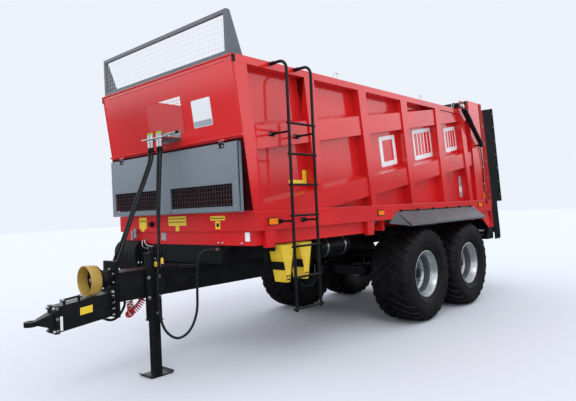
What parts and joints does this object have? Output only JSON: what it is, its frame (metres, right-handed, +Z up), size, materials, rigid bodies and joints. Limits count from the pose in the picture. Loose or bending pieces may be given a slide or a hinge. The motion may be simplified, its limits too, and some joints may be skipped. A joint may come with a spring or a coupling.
{
  "type": "manure spreader trailer",
  "caption": "Tractor-drawn tandem-axle manure spreader: ribbed steel box, mesh headboard, drawbar with jack and hoses, ladder, flotation tyres and upright rear beaters.",
  "frame": {"origin": "bottom centre of the bounding box, on the ground under the machine's centre line", "axes": "+Y towards the rear spreading unit, -Y towards the drawbar eye, +X towards the ladder side, +Z up"},
  "size_m": [2.7, 7.992, 3.345],
  "materials": {
    "tyre_rubber": "matte black rubber",
    "rim_silver": "satin silver paint",
    "red_paint": "glossy red paint",
    "black_paint": "semi-gloss black paint",
    "slate_paint": "satin slate paint",
    "flap_sheet": "matte grey sheet",
    "wire_mesh": "dark woven wire",
    "bare_steel": "bare turned steel",
    "deck_boards": "worn dark steel boards",
    "chain_steel": "dark rolled steel",
    "yellow_plastic": "matte yellow plastic",
    "ochre_plastic": "matte ochre and black plastic",
    "hose_rubber": "matte black rubber",
    "red_hose": "glossy red plastic"
  },
  "bodies": {
    "body_and_chassis": {"side_beam_left": "red_paint", "side_wall_left": "red_paint", "mudguard_left": "black_paint", "guard_left": "black_paint", "side_beam_right": "red_paint", "side_wall_right": "red_paint", "mudguard_right": "black_paint", "guard_right": "black_paint", "lower_frame": "red_paint", "chassis_frame": "black_paint", "drawbar_beam": "black_paint", "hitch_arm": "black_paint", "jack_mast": "black_paint", "ladder": "black_paint", "chock_holder": "black_paint", "spreader_frame": "black_paint", "pto_shield": "ochre_plastic", "shield_bell": "black_paint", "floor_deck": "deck_boards", "front_beam": "red_paint", "front_wall": "red_paint", "window_mesh": "wire_mesh", "headboard_frame": "slate_paint", "headboard_mesh": "wire_mesh", "floor_chain": "chain_steel", "coupling_rack": "bare_steel", "hose_left_a": "hose_rubber", "hose_left_b": "hose_rubber", "hose_mid": "hose_rubber", "hose_loop": "hose_rubber", "air_coil": "red_hose"},
    "bogie": {"leaf_spring_left": "black_paint", "leaf_spring_right": "black_paint", "axle_front": "black_paint", "axle_rear": "black_paint"},
    "wheel_front_left": {"tyre_front_left": "tyre_rubber", "rim_front_left": "rim_silver"},
    "wheel_front_right": {"tyre_front_right": "tyre_rubber", "rim_front_right": "rim_silver"},
    "wheel_rear_left": {"tyre_rear_left": "tyre_rubber", "rim_rear_left": "rim_silver"},
    "wheel_rear_right": {"tyre_rear_right": "tyre_rubber", "rim_rear_right": "rim_silver"},
    "jack_leg": {"jack_leg": "black_paint"},
    "hitch_eye": {"hitch_eye": "black_paint"},
    "front_flap": {"front_flap": "flap_sheet", "flap_mesh": "wire_mesh"},
    "beater_left": {"beater_left": "red_paint"},
    "beater_right": {"beater_right": "red_paint"},
    "drive_line": {"drive_line": "black_paint"},
    "chain_shaft_rear": {"chain_shaft_rear": "bare_steel"},
    "chain_shaft_front": {"chain_shaft_front": "bare_steel"},
    "rear_gate": {"rear_gate": "red_paint"},
    "gate_lift_arm": {"gate_lift_arm": "black_paint"},
    "cylinder_barrel_left": {"cylinder_barrel_left": "black_paint"},
    "cylinder_barrel_right": {"cylinder_barrel_right": "black_paint"},
    "cylinder_rod_left": {"cylinder_rod_left": "bare_steel"},
    "cylinder_rod_right": {"cylinder_rod_right": "bare_steel"},
    "wheel_chock_front": {"wheel_chock_front": "yellow_plastic"},
    "wheel_chock_rear": {"wheel_chock_rear": "yellow_plastic"}
  },
  "joints": [
    {"name": "bogie_rock", "type": "hinge", "parent": "body_and_chassis", "child": "bogie", "pos_m": [0, 1.206, 0.805], "axis": [1, 0, 0], "range_deg": [-4.5, 4.5]},
    {"name": "wheel_front_left_spin", "type": "hinge", "parent": "bogie", "child": "wheel_front_left", "pos_m": [1.005, 0.546, 0.616], "axis": [1, 0, 0], "continuous": true},
    {"name": "wheel_front_right_spin", "type": "hinge", "parent": "bogie", "child": "wheel_front_right", "pos_m": [-1.005, 0.546, 0.616], "axis": [1, 0, 0], "continuous": true},
    {"name": "wheel_rear_left_spin", "type": "hinge", "parent": "bogie", "child": "wheel_rear_left", "pos_m": [1.005, 1.866, 0.616], "axis": [1, 0, 0], "continuous": true},
    {"name": "wheel_rear_right_spin", "type": "hinge", "parent": "bogie", "child": "wheel_rear_right", "pos_m": [-1.005, 1.866, 0.616], "axis": [1, 0, 0], "continuous": true},
    {"name": "jack_leg_slide", "type": "slide", "parent": "body_and_chassis", "child": "jack_leg", "axis": [0, 0, 1], "range_m": [0, 0.4]},
    {"name": "hitch_eye_swivel", "type": "hinge", "parent": "body_and_chassis", "child": "hitch_eye", "pos_m": [0, -3.944, 0.69], "axis": [0, 1, 0], "continuous": true},
    {"name": "front_flap_swing", "type": "hinge", "parent": "body_and_chassis", "child": "front_flap", "pos_m": [0, -2.542, 2.185], "axis": [-1, 0, 0], "range_deg": [0, 16]},
    {"name": "beater_left_spin", "type": "hinge", "parent": "body_and_chassis", "child": "beater_left", "pos_m": [0.505, 3.536, 1.5], "axis": [0, -0.1435, 0.9897], "continuous": true},
    {"name": "beater_right_spin", "type": "hinge", "parent": "body_and_chassis", "child": "beater_right", "pos_m": [-0.505, 3.536, 1.5], "axis": [0, -0.1435, 0.9897], "continuous": true},
    {"name": "drive_line_spin", "type": "hinge", "parent": "body_and_chassis", "child": "drive_line", "pos_m": [0, -3.014, 0.98], "axis": [0, 1, 0], "continuous": true},
    {"name": "chain_shaft_rear_spin", "type": "hinge", "parent": "body_and_chassis", "child": "chain_shaft_rear", "pos_m": [0, 2.976, 1.395], "axis": [1, 0, 0], "continuous": true},
    {"name": "chain_shaft_front_spin", "type": "hinge", "parent": "body_and_chassis", "child": "chain_shaft_front", "pos_m": [0, -2.244, 1.395], "axis": [1, 0, 0], "continuous": true},
    {"name": "rear_gate_lift", "type": "slide", "parent": "body_and_chassis", "child": "rear_gate", "axis": [0, -0.1512, 0.9885], "range_m": [0, 0.41]},
    {"name": "gate_lift_arm_turn", "type": "hinge", "parent": "body_and_chassis", "child": "gate_lift_arm", "pos_m": [0, 2.186, 3.045], "axis": [1, 0, 0], "range_deg": [0, 50.1]},
    {"name": "cylinder_barrel_left_swing", "type": "hinge", "parent": "body_and_chassis", "child": "cylinder_barrel_left", "pos_m": [1.195, 2.656, 2.42], "axis": [1, 0, 0], "range_deg": [0, 1.2]},
    {"name": "cylinder_rod_left_slide", "type": "slide", "parent": "cylinder_barrel_left", "child": "cylinder_rod_left", "axis": [0, -0.7654, 0.6436], "range_m": [-0.171, 0]},
    {"name": "cylinder_barrel_right_swing", "type": "hinge", "parent": "body_and_chassis", "child": "cylinder_barrel_right", "pos_m": [-1.195, 2.656, 2.42], "axis": [1, 0, 0], "range_deg": [0, 1.2]},
    {"name": "cylinder_rod_right_slide", "type": "slide", "parent": "cylinder_barrel_right", "child": "cylinder_rod_right", "axis": [0, -0.7654, 0.6436], "range_m": [-0.171, 0]},
    {"name": "wheel_chock_front_lift_out", "type": "slide", "parent": "body_and_chassis", "child": "wheel_chock_front", "axis": [1, 0, 0], "range_m": [0, 0.12]},
    {"name": "wheel_chock_rear_lift_out", "type": "slide", "parent": "body_and_chassis", "child": "wheel_chock_rear", "axis": [1, 0, 0], "range_m": [0, 0.12]}
  ],
  "couplings": [
    {"joint": "beater_right_spin", "follows": "beater_left_spin", "ratio": -1},
    {"joint": "drive_line_spin", "follows": "beater_left_spin", "ratio": 2.5},
    {"joint": "chain_shaft_front_spin", "follows": "chain_shaft_rear_spin", "ratio": 1},
    {"joint": "gate_lift_arm_turn", "follows": "rear_gate_lift", "rad_per_m": 2.1285},
    {"joint": "cylinder_barrel_left_swing", "follows": "rear_gate_lift", "rad_per_m": 0.0494},
    {"joint": "cylinder_barrel_right_swing", "follows": "rear_gate_lift", "rad_per_m": 0.0494},
    {"joint": "cylinder_rod_left_slide", "follows": "rear_gate_lift", "ratio": -0.4146},
    {"joint": "cylinder_rod_right_slide", "follows": "rear_gate_lift", "ratio": -0.4146}
  ]
}
